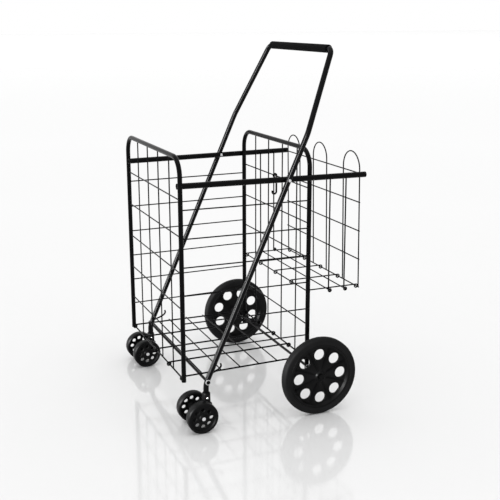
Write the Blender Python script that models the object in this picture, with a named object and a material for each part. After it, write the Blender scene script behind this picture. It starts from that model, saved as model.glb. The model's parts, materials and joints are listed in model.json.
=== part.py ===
"""Folding shopping trolley: a wire basket between two tubular panels, a small rear basket, a folding
push handle on two twin-wheel swivel casters, and two large rear wheels.

The front panel faces -Y, the rear basket +Y, X is the width and Z is up. Lengths are in metres.
Everything hangs on the plane of the rear posts, so REAR_Y places the whole trolley along Y."""

from math import cos, pi, radians, sin, tan

import bmesh
import bpy
from mathutils import Matrix, Quaternion, Vector

GAP = 0.0003

# Basket: the panels' posts, the rails that join them and the levels that carry the floors.
# The front panel is wider than the rear one, so a rail starts inside the front posts and ends
# outside the rear posts.
REAR_Y = 0.11297
BASKET_LENGTH = 0.383
FRONT_POST_X = 0.250
REAR_POST_X = 0.238
POST_RADIUS = 0.0065
TUBE_WALL = 0.0012
PANEL_TOP_Z = 0.751
PANEL_CORNER_RADIUS = 0.050
RAIL_Z = 0.675
RAIL_X_FRONT = 0.235
RAIL_X_REAR = 0.253
RAIL_RADIUS = 0.008
RAIL_FRONT_OVERHANG = 0.0045
FLOOR_Z = 0.137
REAR_POST_FOOT_Z = 0.098
FRONT_POST_FOOT_Z = 0.134
FRONT_Y = REAR_Y - BASKET_LENGTH

# Wires
MESH_WIRE_RADIUS = 0.0016
FLOOR_WIRE_RADIUS = 0.00225
PANEL_ROW_TOP_Z = 0.640
PANEL_ROW_PITCH = 0.1006
PANEL_ROWS = 5
PANEL_COLUMNS_X = (-0.150, -0.050, 0.050, 0.150)
REAR_COLUMN_OFFSET = 0.0033
REAR_ROW_OFFSET = 0.0059
FRONT_COLUMN_OFFSET = 0.0028
SIDE_WIRES = 6
SIDE_WIRE_PITCH = 0.079
SIDE_WIRE_X_FRONT = 0.239
SIDE_WIRE_X_REAR = 0.2493
FLOOR_HALF_WIDTH_FRONT = 0.237
FLOOR_HALF_WIDTH_REAR = 0.228
FLOOR_CROSS_OFFSETS = (0.037, 0.095, 0.153, 0.211, 0.269, 0.327)
EYELET_RADIUS = 0.0050

# Rear basket. Its face leans away by LEAN from its top to its bottom, as do its links, and a link
# is as long as the face is between the axes that it turns on, so that the floor stays level.
REAR_BASKET_DEPTH = 0.157
LEAN = 0.0059
REAR_FLOOR_Z = 0.338
REAR_FACE_ROWS_Z = (0.59075, 0.5065, 0.42225, 0.338)
REAR_FACE_X = 0.243
HAIRPINS = ((-0.197, 0.090), (-0.011, 0.090), (0.188, 0.096))
HAIRPIN_TOP_Z = 0.732
REAR_FLOOR_COLUMNS_X = (-0.2285, -0.115, 0.0, 0.115, 0.2285)
REAR_LINK_OFFSETS = (0.061, 0.110)
REAR_LINK_RADIUS = 0.0021
LINK_FOOT_Z = REAR_FLOOR_Z + EYELET_RADIUS - 2 * MESH_WIRE_RADIUS + 0.0004
LINK_TOP_Z = RAIL_Z + LINK_FOOT_Z - REAR_FLOOR_Z
RAIL_REAR_END = 0.162
LATCH_HOOK_X = -0.008
LATCH_HOOK_LENGTH = 0.057
FACE_Y = REAR_Y + REAR_BASKET_DEPTH

# Push handle: in side view one straight tube, whose upper part also leans inwards to the grip
HANDLE_X = 0.2657
HANDLE_RADIUS = 0.0077
HANDLE_PIVOT_Y = REAR_Y - 0.077
HANDLE_SLOPE = 0.447
HANDLE_FOOT_Z = 0.0825
HANDLE_FOOT_BEND_Z = 0.122
HANDLE_WAIST_Z = 0.800
HANDLE_TOP_Z = 1.020
HANDLE_TOP_X = 0.208
HANDLE_CORNER_RADIUS = 0.024
WAIST_BEND_RADIUS = 0.080
FOOT_BEND_RADIUS = 0.060
GRIP_HALF_LENGTH = 0.189
GRIP_RADIUS = 0.0115
CROSS_ROD_Z = 0.129
CROSS_ROD_RADIUS = 0.004

# Rear wheels
WHEEL_RADIUS = 0.1145
WHEEL_X = 0.316
WHEEL_WIDTH = 0.027
WHEEL_SIDES = 32
WHEEL_HOLES = 8
WHEEL_HOLE_CIRCLE = 0.065
WHEEL_HOLE_RADIUS = 0.0165
WHEEL_HOLE_PHASE = {"left": 2, "right": -18}
TYRE_INNER_RADIUS = 0.095
AXLE_RADIUS = 0.0040
RIVET_SHANK = 0.0022

# Casters
CASTER_RADIUS = 0.044
CASTER_TRAIL = 0.027
CASTER_WHEEL_X = 0.042
CASTER_WHEEL_WIDTH = 0.024
CASTER_SIDES = 24
CASTER_HOLES = 8
CASTER_HOLE_CIRCLE = 0.024
CASTER_HOLE_RADIUS = 0.0060
CASTER_AXLE_RADIUS = 0.003
SOCKET_BOTTOM_Z = 0.0705
SOCKET_TOP_Z = 0.097
FORK_HALF_WIDTH = 0.015
FORK_BACK_RADIUS = 0.043
FORK_BOSS_RADIUS = 0.020

SIDES = {"left": 1, "right": -1}
X_AXIS = Vector((1, 0, 0))


def clear_scene():
    for thing in list(bpy.data.objects):
        bpy.data.objects.remove(thing, do_unlink=True)


def make_material(name, colour, roughness, metallic=0.0):
    material = bpy.data.materials.new(name)
    material.use_nodes = True
    shader = material.node_tree.nodes["Principled BSDF"]
    shader.inputs["Base Color"].default_value = (*colour, 1)
    shader.inputs["Roughness"].default_value = roughness
    shader.inputs["Metallic"].default_value = metallic
    return material


def make_object(name, bm, material, hidden=False):
    """Turns a bmesh into an object. A hidden one is only a cutter or the other half of a union."""
    bmesh.ops.recalc_face_normals(bm, faces=bm.faces)
    mesh = bpy.data.meshes.new(name)
    bm.to_mesh(mesh)
    bm.free()
    mesh.shade_smooth()
    mesh.set_sharp_from_angle(angle=radians(40))
    mesh.materials.append(material)
    thing = bpy.data.objects.new(name, mesh)
    bpy.context.scene.collection.objects.link(thing)
    if hidden:
        thing.hide_render = True
        thing.display_type = "WIRE"
    return thing


def combine(thing, other, operation):
    modifier = thing.modifiers.new(operation.lower() + "_" + other.name, "BOOLEAN")
    modifier.operation = operation
    modifier.object = other
    modifier.solver = "EXACT"


def place_on_axis(thing, pivot):
    """Moves an object's origin onto its joint, leaving its shape where it is."""
    pivot = Vector(pivot)
    thing.data.transform(Matrix.Translation(-pivot))
    thing.location = pivot
    return thing


def rounded(corners, radii, steps):
    """A polyline through corners, with each inner corner turned into an arc of its own radius."""
    corners = [Vector(corner) for corner in corners]
    path = [corners[0]]
    for before, corner, after, radius in zip(corners, corners[1:], corners[2:], radii):
        arriving = (corner - before).normalized()
        leaving = (after - corner).normalized()
        turn = arriving.angle(leaving)
        reach = radius * tan(turn / 2)
        start = corner - arriving * reach
        axis = arriving.cross(leaving).normalized()
        centre = start + axis.cross(arriving) * radius
        spoke = start - centre
        path += [centre + Quaternion(axis, turn * i / steps) @ spoke for i in range(steps + 1)]
    path.append(corners[-1])
    return path


def ring(bm, centre, across, along, radius, sides):
    """A ring of points round centre. A flat face looks along across when sides is even."""
    offset = pi / sides
    points = []
    for i in range(sides):
        angle = offset + 2 * pi * i / sides
        points.append(bm.verts.new(centre + radius * (cos(angle) * across + sin(angle) * along)))
    return points


def skin(bm, first, second):
    for i in range(len(first)):
        after = (i + 1) % len(first)
        bm.faces.new((first[i], first[after], second[after], second[i]))


def frames_along(path):
    """At each point of the path, two directions square to it, carried along without twist."""
    tangents = []
    for i in range(len(path)):
        tangents.append((path[min(i + 1, len(path) - 1)] - path[max(i - 1, 0)]).normalized())
    guide = X_AXIS if abs(tangents[0].x) < 0.9 else Vector((0, 1, 0))
    across = (guide - tangents[0] * guide.dot(tangents[0])).normalized()
    frames = []
    for before, tangent in zip([tangents[0]] + tangents, tangents):
        across = before.rotation_difference(tangent) @ across
        frames.append((across, tangent.cross(across)))
    return frames


def add_rod(bm, path, radius, sides, bore=None):
    """A round rod along a path, or a tube where bore, its inner radius, is given."""
    path = [Vector(point) for point in path]
    frames = frames_along(path)
    outer = [ring(bm, point, *frame, radius, sides) for point, frame in zip(path, frames)]
    for first, second in zip(outer, outer[1:]):
        skin(bm, first, second)
    if bore is None:
        bm.faces.new(outer[0])
        bm.faces.new(outer[-1])
        return
    inner = [ring(bm, point, *frame, bore, sides) for point, frame in zip(path, frames)]
    for first, second in zip(inner, inner[1:]):
        skin(bm, first, second)
    skin(bm, outer[0], inner[0])
    skin(bm, outer[-1], inner[-1])


def make_rod(name, paths, radius, sides, material, bore=None, hidden=False):
    bm = bmesh.new()
    for path in paths:
        add_rod(bm, path, radius, sides, bore)
    return make_object(name, bm, material, hidden=hidden)


def make_turned(name, profile, centre, sides, material):
    """Turns a closed (x, radius) profile round an X axis through centre. The profile may start and
    end on the axis. A flat face of the turned piece looks down."""
    bm = bmesh.new()
    down, side = Vector((0, 0, -1)), Vector((0, 1, 0))
    widen = 1 / cos(pi / sides)
    rows = []
    for x, radius in profile:
        middle = Vector(centre) + x * X_AXIS
        if radius == 0:
            rows.append([bm.verts.new(middle)])
        else:
            rows.append(ring(bm, middle, down, side, radius * widen, sides))
    pairs = list(zip(rows, rows[1:]))
    if len(rows[0]) > 1 and len(rows[-1]) > 1:
        pairs.append((rows[-1], rows[0]))
    for first, second in pairs:
        if len(first) == 1 or len(second) == 1:
            tip, rim = (first[0], second) if len(first) == 1 else (second[0], first)
            for i in range(sides):
                bm.faces.new((tip, rim[i], rim[(i + 1) % sides]))
        else:
            skin(bm, first, second)
    return make_object(name, bm, material)


def cross_bore(thing, y, z, radius, reach, material, sides=8):
    """Drills along X through everything of thing between the two values of reach."""
    path = [(reach[0], y, z), (reach[1], y, z)]
    drill = make_rod("drill_" + thing.name, [path], radius / cos(pi / sides), sides, material, hidden=True)
    combine(thing, drill, "DIFFERENCE")


def rail_x(y):
    """The rails spread towards the rear."""
    return RAIL_X_REAR + (RAIL_X_REAR - RAIL_X_FRONT) * (y - REAR_Y) / BASKET_LENGTH


def lean(z):
    """How far the rear basket's face and links have leant to the rear at this height."""
    return LEAN * (RAIL_Z - z) / (RAIL_Z - REAR_FLOOR_Z)


def eyelet(x, y, z, towards):
    """The curl at a floor wire's end. It passes over the rod at y, z and turns down round it.
    towards is 1 where the wire runs to the rear and -1 where it runs to the front."""
    points = []
    for i in range(8):
        angle = i * radians(285) / 7
        points.append(Vector((
            x,
            y + towards * EYELET_RADIUS * sin(angle),
            z + EYELET_RADIUS * cos(angle),
        )))
    return points


def wire_with_eyelets(front, rear):
    """A floor wire between the rods at front and rear, each an (x, y, z)."""
    return eyelet(*front, -1)[::-1] + eyelet(*rear, 1)


def make_panel_frame(name, post_x, y, foot_z, material):
    corners = [(post_x, y, foot_z), (post_x, y, PANEL_TOP_Z), (-post_x, y, PANEL_TOP_Z), (-post_x, y, foot_z)]
    path = rounded(corners, [PANEL_CORNER_RADIUS] * 2, 5)
    frame = make_rod(name, [path], POST_RADIUS, 10, material, bore=POST_RADIUS - TUBE_WALL)
    for side in SIDES.values():
        reach = (side * (post_x - 0.02), side * (post_x + 0.02))
        cross_bore(frame, y, RAIL_Z, RIVET_SHANK + GAP, reach, material)
    return frame


def make_panel_mesh(name, y, rows_y, columns_y, row_x, bottom_x, material):
    """The bottom wire runs between the posts, in their plane. The columns lie against its side, and
    the rows against theirs."""
    bm = bmesh.new()
    for i in range(PANEL_ROWS):
        z = PANEL_ROW_TOP_Z - i * PANEL_ROW_PITCH
        add_rod(bm, [(-row_x, rows_y, z), (row_x, rows_y, z)], MESH_WIRE_RADIUS, 6)
    add_rod(bm, [(-bottom_x, y, FLOOR_Z), (bottom_x, y, FLOOR_Z)], FLOOR_WIRE_RADIUS, 6)
    rows = make_object(name, bm, material)
    top_z = PANEL_TOP_Z - POST_RADIUS - GAP
    paths = [[(x, columns_y, FLOOR_Z - 0.001), (x, columns_y, top_z)] for x in PANEL_COLUMNS_X]
    columns = make_rod(name + "_columns", paths, MESH_WIRE_RADIUS, 6, material, hidden=True)
    combine(rows, columns, "UNION")
    return rows


def make_rear_panel(materials):
    paint = materials["paint"]
    frame = make_panel_frame("rear_frame_tube", REAR_POST_X, REAR_Y, REAR_POST_FOOT_Z, paint)
    for side in SIDES.values():
        reach = (side * (REAR_POST_X - 0.02), side * (REAR_POST_X + 0.02))
        cross_bore(frame, REAR_Y, WHEEL_RADIUS, AXLE_RADIUS + GAP, reach, paint, 12)
    row_x = REAR_POST_X - REAR_ROW_OFFSET + GAP
    bottom_x = REAR_POST_X - POST_RADIUS - GAP
    rows_y = REAR_Y + REAR_ROW_OFFSET
    columns_y = REAR_Y + REAR_COLUMN_OFFSET
    make_panel_mesh("rear_panel_mesh", REAR_Y, rows_y, columns_y, row_x, bottom_x, paint)


def make_front_panel(materials):
    pivot = (0, FRONT_Y, RAIL_Z)
    paint = materials["paint"]
    frame = make_panel_frame("front_frame_tube", FRONT_POST_X, FRONT_Y, FRONT_POST_FOOT_Z, paint)
    place_on_axis(frame, pivot)
    row_x = FRONT_POST_X - POST_RADIUS - GAP
    columns_y = FRONT_Y + FRONT_COLUMN_OFFSET
    mesh = make_panel_mesh("front_panel_mesh", FRONT_Y, FRONT_Y, columns_y, row_x, row_x, paint)
    place_on_axis(mesh, pivot)
    for name, side in SIDES.items():
        stem = POST_RADIUS - TUBE_WALL - GAP
        foot = FRONT_POST_FOOT_Z
        profile = [
            (0, foot - 0.0032),
            (POST_RADIUS - 0.0008, foot - 0.0032),
            (POST_RADIUS + 0.0003, foot - 0.0015),
            (POST_RADIUS + 0.0003, foot - GAP),
            (stem, foot - GAP),
            (stem, foot + 0.010),
            (0, foot + 0.010),
        ]
        axis = (side * FRONT_POST_X, FRONT_Y)
        plug = make_lathe_z("post_plug_" + name, profile, axis, 10, materials["plastic"])
        place_on_axis(plug, pivot)


def make_rails(materials):
    paint = materials["paint"]
    bore = RAIL_RADIUS - TUBE_WALL
    front_end = FRONT_Y - RAIL_FRONT_OVERHANG
    rear_end = REAR_Y + RAIL_REAR_END
    for name, side in SIDES.items():
        start = Vector((side * rail_x(front_end), front_end, RAIL_Z))
        end = Vector((side * rail_x(rear_end), rear_end, RAIL_Z))
        rail = make_rod("rail_" + name, [[start, end]], RAIL_RADIUS, 12, paint, bore=bore)
        for y in (FRONT_Y, HANDLE_PIVOT_Y, REAR_Y):
            reach = (side * (rail_x(y) - 0.02), side * (rail_x(y) + 0.02))
            cross_bore(rail, y, RAIL_Z, RIVET_SHANK + GAP, reach, paint)
        for offset in REAR_LINK_OFFSETS:
            make_rail_hole(rail, side, offset, LINK_TOP_Z, REAR_LINK_RADIUS, paint)
        make_rail_hole(rail, side, REAR_BASKET_DEPTH, RAIL_Z, MESH_WIRE_RADIUS, paint)
        place_on_axis(rail, (0, REAR_Y, RAIL_Z))
        make_rail_cap(name, end, (end - start).normalized(), bore - GAP, materials)


def make_rail_hole(rail, side, offset, z, wire_radius, material):
    """A hole in the rail's inner wall for the turned end of a rear basket wire."""
    y = REAR_Y + offset
    reach = (side * (rail_x(y) - 0.02), side * rail_x(y))
    cross_bore(rail, y, z, wire_radius + GAP, reach, material)


def make_rail_cap(name, end, along, stem, materials):
    """The domed plastic plug in a rail's rear end."""
    bm = bmesh.new()
    across = Vector((0, 0, 1))
    rows = []
    sections = [(-0.003, stem), (GAP, stem), (GAP, RAIL_RADIUS), (0.0018, RAIL_RADIUS), (0.0034, 0.0058)]
    for offset, radius in sections:
        rows.append(ring(bm, end + offset * along, across, along.cross(across), radius, 12))
    for first, second in zip(rows, rows[1:]):
        skin(bm, first, second)
    bm.faces.new(rows[0])
    bm.faces.new(rows[-1])
    place_on_axis(make_object("rail_cap_" + name, bm, materials["plastic"]), (0, REAR_Y, RAIL_Z))


def make_rivet(name, side, y, inner_face, outer_face, materials):
    """A pivot rivet along X through two tubes, with a flat head inside and a domed one outside."""
    head = 0.0042
    profile = [
        (inner_face - GAP - 0.0016, 0),
        (inner_face - GAP - 0.0016, 0.0034),
        (inner_face - GAP, head),
        (inner_face - GAP, RIVET_SHANK),
        (outer_face + GAP, RIVET_SHANK),
        (outer_face + GAP, head),
        (outer_face + GAP + 0.0012, 0.0034),
        (outer_face + GAP + 0.0020, 0),
    ]
    profile = [(side * x, radius) for x, radius in profile]
    rivet = make_turned(name, profile, (0, y, RAIL_Z), 10, materials["zinc"])
    place_on_axis(rivet, (0, REAR_Y, RAIL_Z))


def make_rivets(materials):
    handle_face = HANDLE_X + HANDLE_RADIUS
    for name, side in SIDES.items():
        inner = rail_x(FRONT_Y) - RAIL_RADIUS
        make_rivet("front_rivet_" + name, side, FRONT_Y, inner, FRONT_POST_X + POST_RADIUS, materials)
        outer = rail_x(REAR_Y) + RAIL_RADIUS
        make_rivet("rear_rivet_" + name, side, REAR_Y, REAR_POST_X - POST_RADIUS, outer, materials)
        inner = rail_x(HANDLE_PIVOT_Y) - RAIL_RADIUS
        make_rivet("handle_rivet_" + name, side, HANDLE_PIVOT_Y, inner, handle_face, materials)


def make_side_wires(materials):
    """Level by level, one loose wire on each side. Each turns in the posts at its two bent ends."""
    front_end = FRONT_POST_X - POST_RADIUS - GAP
    rear_end = REAR_POST_X + POST_RADIUS + GAP
    for level in range(1, SIDE_WIRES + 1):
        z = FLOOR_Z + level * SIDE_WIRE_PITCH
        for name, side in SIDES.items():
            corners = [
                (side * front_end, FRONT_Y, z),
                (side * SIDE_WIRE_X_FRONT, FRONT_Y, z),
                (side * SIDE_WIRE_X_REAR, REAR_Y, z),
                (side * rear_end, REAR_Y, z),
            ]
            path = rounded(corners, [0.0025] * 2, 3)
            wire = make_rod(f"side_wire_{level}_{name}", [path], MESH_WIRE_RADIUS, 6, materials["paint"])
            place_on_axis(wire, (0, REAR_Y, z))


def make_floor(name, wires, radius, bars, pivot, material):
    """Wires along Y, with a curl at each end, and thinner bars across them, welded where they meet."""
    floor = make_rod(name, wires, radius, 6, material)
    across = make_rod(name + "_bars", bars, MESH_WIRE_RADIUS, 6, material, hidden=True)
    combine(floor, across, "UNION")
    place_on_axis(floor, pivot)


def make_main_floor(materials):
    wires = []
    for share in (-1, -0.5, 0, 0.5, 1):
        front = (share * FLOOR_HALF_WIDTH_FRONT, FRONT_Y, FLOOR_Z)
        rear = (share * FLOOR_HALF_WIDTH_REAR, REAR_Y, FLOOR_Z)
        wires.append(wire_with_eyelets(front, rear))
    bars = []
    bar_z = FLOOR_Z + EYELET_RADIUS + FLOOR_WIRE_RADIUS + 0.0008
    spread = FLOOR_HALF_WIDTH_FRONT - FLOOR_HALF_WIDTH_REAR
    for offset in FLOOR_CROSS_OFFSETS:
        half = FLOOR_HALF_WIDTH_REAR + spread * offset / BASKET_LENGTH + 0.0015
        bars.append([(-half, REAR_Y - offset, bar_z), (half, REAR_Y - offset, bar_z)])
    pivot = (0, REAR_Y, FLOOR_Z)
    make_floor("main_floor_grid", wires, FLOOR_WIRE_RADIUS, bars, pivot, materials["paint"])


def make_rear_basket(materials):
    make_rear_face(materials)
    near_y = REAR_Y + REAR_ROW_OFFSET
    far_y = FACE_Y + LEAN
    wires = []
    for x in REAR_FLOOR_COLUMNS_X:
        wires.append(wire_with_eyelets((x, near_y, REAR_FLOOR_Z), (x, far_y, REAR_FLOOR_Z)))
    bars = []
    for offset in REAR_LINK_OFFSETS:
        y = REAR_Y + offset + LEAN
        half = rear_link_x(offset) + 0.008
        bars.append([(-half, y, LINK_FOOT_Z), (half, y, LINK_FOOT_Z)])
    pivot = (0, near_y, REAR_FLOOR_Z)
    make_floor("rear_basket_floor", wires, MESH_WIRE_RADIUS, bars, pivot, materials["paint"])
    for number, offset in enumerate(REAR_LINK_OFFSETS, 1):
        for name, side in SIDES.items():
            make_rear_link(f"rear_link_{number}_{name}", side, offset, materials)


def make_rear_face(materials):
    """Three hairpins side by side, tied by rows of wire. The top row turns in holes in the rails."""
    hairpins = []
    for middle, width in HAIRPINS:
        half = width / 2
        spring_z = HAIRPIN_TOP_Z - half
        legs = [(middle + half, REAR_FLOOR_Z), (middle - half, REAR_FLOOR_Z)]
        arc = []
        for i in range(11):
            angle = radians(18 * i)
            arc.append((middle + half * cos(angle), spring_z + half * sin(angle)))
        points = [legs[0], *arc, legs[1]]
        hairpins.append([(x, FACE_Y + lean(z) + 0.0022, z) for x, z in points])
    face = make_rod("rear_basket_face", hairpins, MESH_WIRE_RADIUS, 6, materials["paint"])
    top_x = rail_x(FACE_Y) - RAIL_RADIUS + 0.004
    rows = [[(-top_x, FACE_Y, RAIL_Z), (top_x, FACE_Y, RAIL_Z)]]
    for z in REAR_FACE_ROWS_Z:
        y = FACE_Y + lean(z)
        rows.append([(-REAR_FACE_X, y, z), (REAR_FACE_X, y, z)])
    bars = make_rod("rear_face_rows", rows, MESH_WIRE_RADIUS, 6, materials["paint"], hidden=True)
    combine(face, bars, "UNION")
    place_on_axis(face, (0, FACE_Y, RAIL_Z))


def rear_link_x(offset):
    return rail_x(REAR_Y + offset) - RAIL_RADIUS - REAR_LINK_RADIUS - 2 * GAP


def make_rear_link(name, side, offset, materials):
    """A wire whose top is turned into a hole in the rail, and whose foot curls round a floor bar."""
    x = side * rear_link_x(offset)
    y = REAR_Y + offset
    loop = MESH_WIRE_RADIUS + REAR_LINK_RADIUS + 0.0006
    turned_in = x + side * (REAR_LINK_RADIUS + 2 * GAP + 0.004)
    foot = (x, y + LEAN - loop, LINK_FOOT_Z + 0.006)
    corners = [(turned_in, y, LINK_TOP_Z), (x, y, LINK_TOP_Z), foot]
    points = rounded(corners, [0.0030], 4)
    for i in range(8):
        angle = radians(180) + i * radians(270) / 7
        points.append(Vector((x, y + LEAN + loop * cos(angle), LINK_FOOT_Z + loop * sin(angle))))
    link = make_rod(name, [points], REAR_LINK_RADIUS, 6, materials["paint"])
    place_on_axis(link, (0, y, LINK_TOP_Z))


def handle_y(z):
    """The handle's side view is one straight line through its pivot, down to the foot's bend."""
    return HANDLE_PIVOT_Y + HANDLE_SLOPE * (z - RAIL_Z)


def make_handle(materials):
    foot_y = handle_y(HANDLE_FOOT_BEND_Z)
    legs = []
    for side in SIDES.values():
        legs.append([
            (side * HANDLE_X, foot_y, HANDLE_FOOT_Z),
            (side * HANDLE_X, foot_y, HANDLE_FOOT_BEND_Z),
            (side * HANDLE_X, handle_y(HANDLE_WAIST_Z), HANDLE_WAIST_Z),
            (side * HANDLE_TOP_X, handle_y(HANDLE_TOP_Z), HANDLE_TOP_Z),
        ])
    radii = [FOOT_BEND_RADIUS, WAIST_BEND_RADIUS, HANDLE_CORNER_RADIUS]
    path = rounded(legs[0] + legs[1][::-1], radii + radii[::-1], 4)
    bore = HANDLE_RADIUS - TUBE_WALL
    tube = make_rod("handle_tube", [path], HANDLE_RADIUS, 10, materials["paint"], bore=bore)
    rod_y = handle_y(CROSS_ROD_Z)
    for side in SIDES.values():
        reach = (side * (HANDLE_X - 0.02), side * (HANDLE_X + 0.02))
        cross_bore(tube, HANDLE_PIVOT_Y, RAIL_Z, RIVET_SHANK + GAP, reach, materials["paint"])
        cross_bore(tube, rod_y, CROSS_ROD_Z, CROSS_ROD_RADIUS + GAP, reach, materials["paint"], 10)
    pivot = (0, HANDLE_PIVOT_Y, RAIL_Z)
    place_on_axis(tube, pivot)
    make_grip(pivot, materials)
    make_cross_rod(rod_y, pivot, materials)
    for name, side in SIDES.items():
        make_lock_hook("lock_hook_" + name, side, pivot, materials)


def make_grip(pivot, materials):
    half, bore = GRIP_HALF_LENGTH, HANDLE_RADIUS + GAP
    soft = 0.0025
    profile = [
        (-half, bore),
        (-half, GRIP_RADIUS - soft),
        (-half + soft, GRIP_RADIUS),
        (half - soft, GRIP_RADIUS),
        (half, GRIP_RADIUS - soft),
        (half, bore),
    ]
    top = (0, handle_y(HANDLE_TOP_Z), HANDLE_TOP_Z)
    place_on_axis(make_turned("foam_grip", profile, top, 20, materials["foam"]), pivot)


def make_cross_rod(y, pivot, materials):
    """The rod through both feet of the handle, under the main floor, with a cap nut on each end."""
    face = HANDLE_X + HANDLE_RADIUS + GAP
    nut = 0.0078
    half = [(face, CROSS_ROD_RADIUS), (face, nut), (face + 0.0030, nut), (face + 0.0048, 0.0045)]
    other = [(-x, radius) for x, radius in half[::-1]]
    profile = [(-face - 0.0048, 0), *other, *half, (face + 0.0048, 0)]
    rod = make_turned("cross_rod", profile, (0, y, CROSS_ROD_Z), 10, materials["zinc"])
    place_on_axis(rod, pivot)


def make_lock_hook(name, side, pivot, materials):
    """A J of thick wire against the inner side of the handle's foot."""
    wire = 0.0026
    x = side * (HANDLE_X - HANDLE_RADIUS - wire - GAP)
    start_z = 0.144
    profile = [(0.0, 0.0), (0.020, 0.0060), (0.0345, 0.0130), (0.0400, 0.0205), (0.0375, 0.0280)]
    path = [Vector((x, handle_y(start_z) + along, start_z + up)) for along, up in profile]
    hook = make_rod(name, [path], wire, 8, materials["paint"])
    place_on_axis(hook, pivot)


def make_latch_hook(materials):
    """The hanging hook that holds the folded trolley shut. It swings on the rear panel's top row."""
    wire = 0.0028
    loop = MESH_WIRE_RADIUS + wire + 0.0005
    x, y, z = LATCH_HOOK_X, REAR_Y + REAR_ROW_OFFSET, PANEL_ROW_TOP_Z
    points = []
    for i in range(8):
        angle = radians(-80) + i * radians(260) / 7
        points.append(Vector((x, y - loop * cos(angle), z + loop * sin(angle))))
    bend = 0.0068
    low_z = z - LATCH_HOOK_LENGTH + bend
    for i in range(7):
        angle = radians(190) * i / 6
        points.append(Vector((x, y + loop - bend + bend * cos(angle), low_z - bend * sin(angle))))
    hook = make_rod("latch_hook", [points], wire, 8, materials["paint"])
    place_on_axis(hook, (0, y, z))


def make_rear_wheels(materials):
    axle_half = WHEEL_X + WHEEL_WIDTH / 2 + 0.0065
    path = [(-axle_half, REAR_Y, WHEEL_RADIUS), (axle_half, REAR_Y, WHEEL_RADIUS)]
    make_rod("rear_axle", [path], AXLE_RADIUS, 12, materials["paint"])
    for name, side in SIDES.items():
        centre = (side * WHEEL_X, REAR_Y, WHEEL_RADIUS)
        make_wheel_disc("wheel_disc_" + name, side, centre, WHEEL_HOLE_PHASE[name], materials)
        make_tyre("tyre_" + name, centre, materials)
        make_axle_cap("axle_cap_" + name, side, axle_half, materials)


def drill_ring(disc, centre, holes, circle, radius, phase, material, sides):
    """Drills holes along X, evenly spaced on a circle round centre. The first one is at phase
    degrees up from the rear."""
    drills = []
    for i in range(holes):
        angle = radians(phase) + 2 * pi * i / holes
        y = centre[1] + circle * cos(angle)
        z = centre[2] + circle * sin(angle)
        drills.append([(centre[0] - 0.03, y, z), (centre[0] + 0.03, y, z)])
    drill = make_rod("holes_" + disc.name, drills, radius, sides, material, hidden=True)
    combine(disc, drill, "DIFFERENCE")


def make_wheel_disc(name, side, centre, phase, materials):
    hole = AXLE_RADIUS + GAP
    rim = TYRE_INNER_RADIUS - GAP
    half = WHEEL_WIDTH / 2
    profile = [
        (half + 0.0015, hole),
        (half + 0.0015, 0.015),
        (half - 0.0060, 0.020),
        (half - 0.0075, 0.086),
        (half - 0.0015, 0.089),
        (half - 0.0015, rim),
        (-half + 0.0015, rim),
        (-half + 0.0015, 0.089),
        (half - 0.0115, 0.086),
        (half - 0.0105, 0.018),
        (-half - 0.0040, 0.015),
        (-half - 0.0040, hole),
    ]
    profile = [(side * x, radius) for x, radius in profile]
    disc = make_turned(name, profile, centre, WHEEL_SIDES, materials["plastic"])
    plastic = materials["plastic"]
    drill_ring(disc, centre, WHEEL_HOLES, WHEEL_HOLE_CIRCLE, WHEEL_HOLE_RADIUS, phase, plastic, 12)
    place_on_axis(disc, centre)


def make_tyre(name, centre, materials):
    half = WHEEL_WIDTH / 2
    profile = [
        (-half, TYRE_INNER_RADIUS),
        (-half, WHEEL_RADIUS - 0.005),
        (-half + 0.004, WHEEL_RADIUS),
        (half - 0.004, WHEEL_RADIUS),
        (half, WHEEL_RADIUS - 0.005),
        (half, TYRE_INNER_RADIUS),
    ]
    place_on_axis(make_turned(name, profile, centre, WHEEL_SIDES, materials["tyre"]), centre)


def make_axle_cap(name, side, axle_half, materials):
    """A push-on cap: a cup over the axle's end."""
    hub_face = WHEEL_X + WHEEL_WIDTH / 2 + 0.0015
    bore = AXLE_RADIUS + GAP
    profile = [
        (axle_half + GAP, 0),
        (axle_half + GAP, bore),
        (hub_face + GAP, bore),
        (hub_face + GAP, 0.0095),
        (axle_half, 0.0085),
        (axle_half + 0.0018, 0.0050),
        (axle_half + 0.0018, 0),
    ]
    profile = [(side * x, radius) for x, radius in profile]
    make_turned(name, profile, (0, REAR_Y, WHEEL_RADIUS), 12, materials["plastic"])


def make_casters(materials):
    axis_y = handle_y(HANDLE_FOOT_BEND_Z)
    for name, side in SIDES.items():
        make_caster_socket("caster_socket_" + name, side * HANDLE_X, axis_y, materials)
        swivel = (side * HANDLE_X, axis_y, SOCKET_BOTTOM_Z)
        make_caster_pin("caster_pin_" + name, swivel, materials)
        make_caster_fork("caster_fork_" + name, swivel, materials)
        axle = (side * HANDLE_X, axis_y - CASTER_TRAIL, CASTER_RADIUS)
        make_caster_axle("caster_axle_" + name, axle, swivel, materials)
        for wheel, way in (("outer", side), ("inner", -side)):
            make_caster_wheel(f"caster_wheel_{name}_{wheel}", way, axle, materials)


def make_lathe_z(name, profile, axis, sides, material):
    """Turns a closed (radius, z) profile round a Z axis. It may start and end on the axis."""
    bm = bmesh.new()
    rows = []
    for radius, z in profile:
        centre = Vector((axis[0], axis[1], z))
        if radius:
            rows.append(ring(bm, centre, X_AXIS, Vector((0, 1, 0)), radius, sides))
    for first, second in zip(rows, rows[1:]):
        skin(bm, first, second)
    if profile[0][0]:
        skin(bm, rows[-1], rows[0])
    else:
        bm.faces.new(rows[0])
        bm.faces.new(rows[-1])
    return make_object(name, bm, material)


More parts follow.
